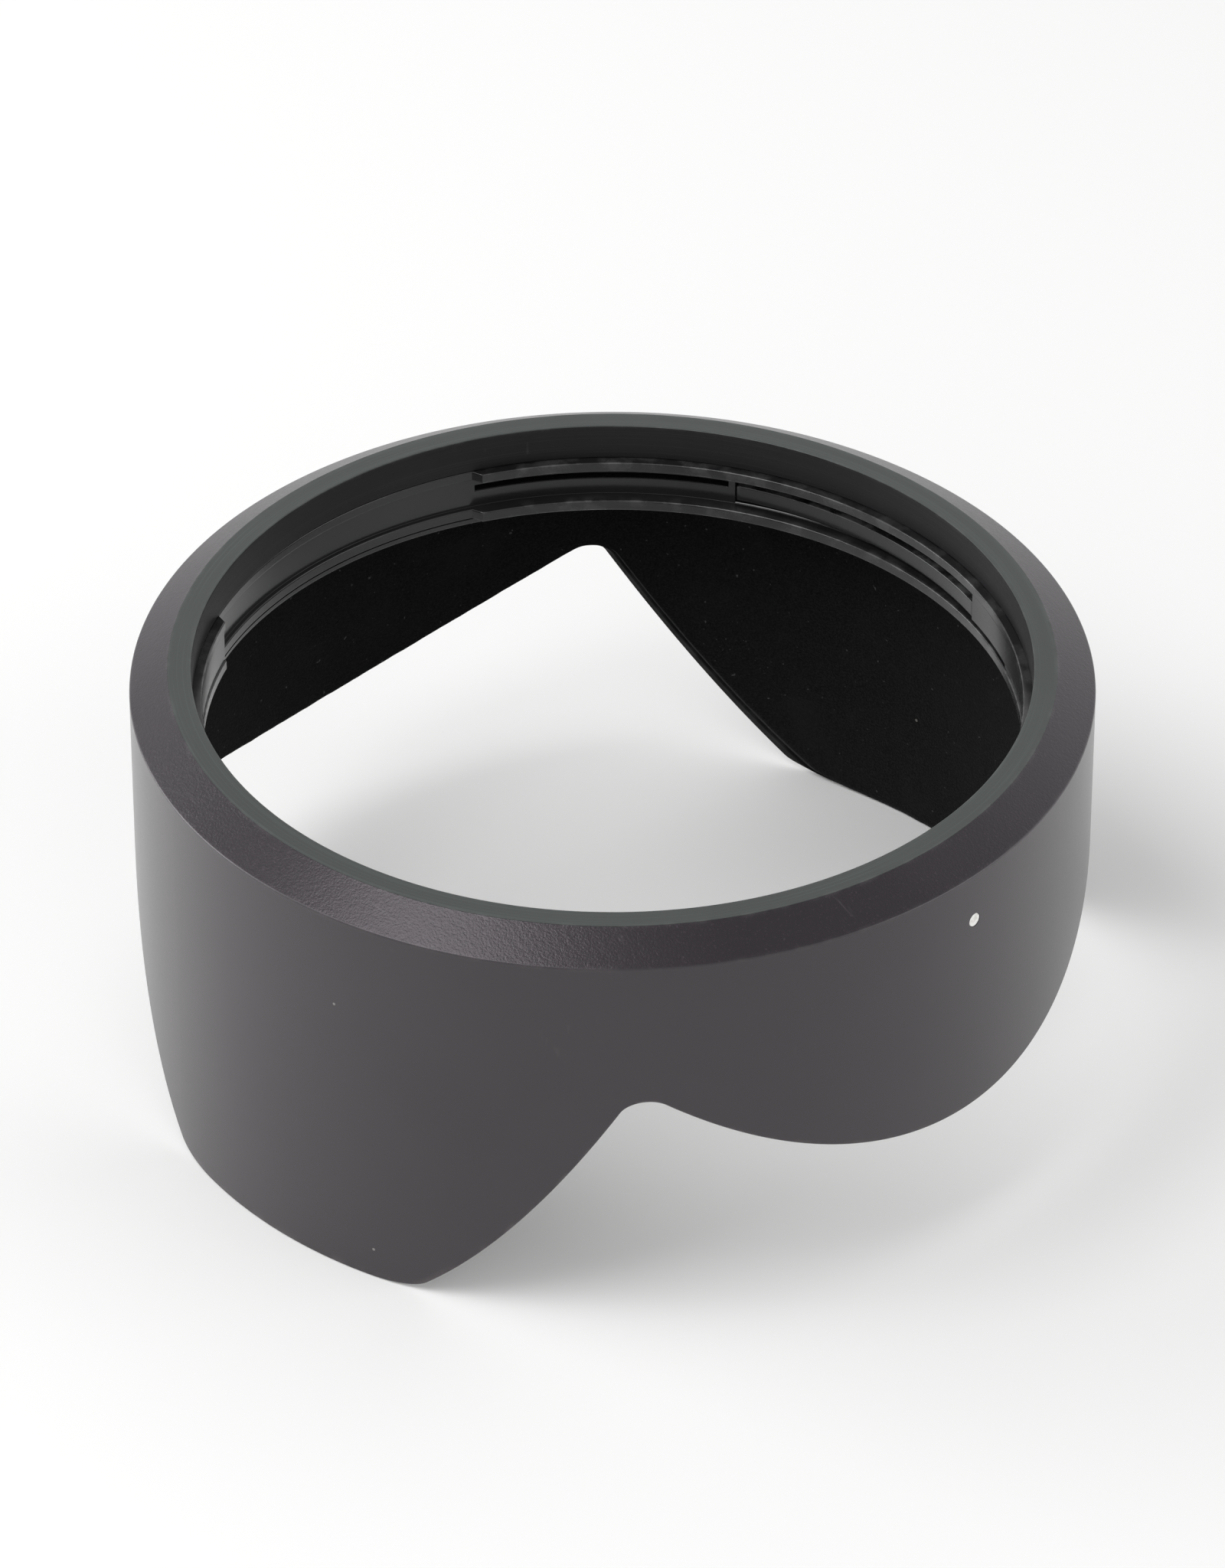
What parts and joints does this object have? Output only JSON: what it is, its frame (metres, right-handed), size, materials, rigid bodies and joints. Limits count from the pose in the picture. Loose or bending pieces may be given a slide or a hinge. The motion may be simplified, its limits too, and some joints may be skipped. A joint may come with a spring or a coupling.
{
  "type": "lens hood",
  "caption": "Petal lens hood: black anodised tube with long and short petals, chamfered rear rim, index dot, flocked lining and an inner bayonet ring with sprung click strips.",
  "frame": {"origin": "on the hood's own axis, level with the tips of the long petals, which is the surface it stands on", "axes": "+Z along the hood's axis towards the rear rim and the lens; the long petals lie along Y and the short ones along X, with the index dot on the +X side"},
  "size_m": [0.0942, 0.0942, 0.0439],
  "materials": {
    "black_anodised": "fine satin black anodising on turned and milled aluminium",
    "black_ring": "satin black glass-filled plastic, polished by use along its edges",
    "black_steel": "blackened steel screws",
    "black_flock": "deep black short-pile velour flock",
    "white_paint": "white paint filled into a shallow recess"
  },
  "bodies": {
    "hood": {"hood_shell": "black_anodised", "bayonet_ring": "black_ring", "ring_screw_1": "black_steel", "ring_screw_2": "black_steel", "ring_screw_3": "black_steel", "ring_screw_4": "black_steel", "flock_lining": "black_flock", "index_dot": "white_paint"},
    "far_strip": {"click_strip_far": "black_ring"},
    "near_strip": {"click_strip_near": "black_ring"}
  },
  "joints": [
    {"name": "far_click", "type": "slide", "parent": "hood", "child": "far_strip", "axis": [-0.0523, 0.9986, 0], "range_m": [0, 0.00045], "stiffness_N_per_m": 3000},
    {"name": "near_click", "type": "slide", "parent": "hood", "child": "near_strip", "axis": [0.0523, -0.9986, 0], "range_m": [0, 0.00045], "stiffness_N_per_m": 3000}
  ]
}
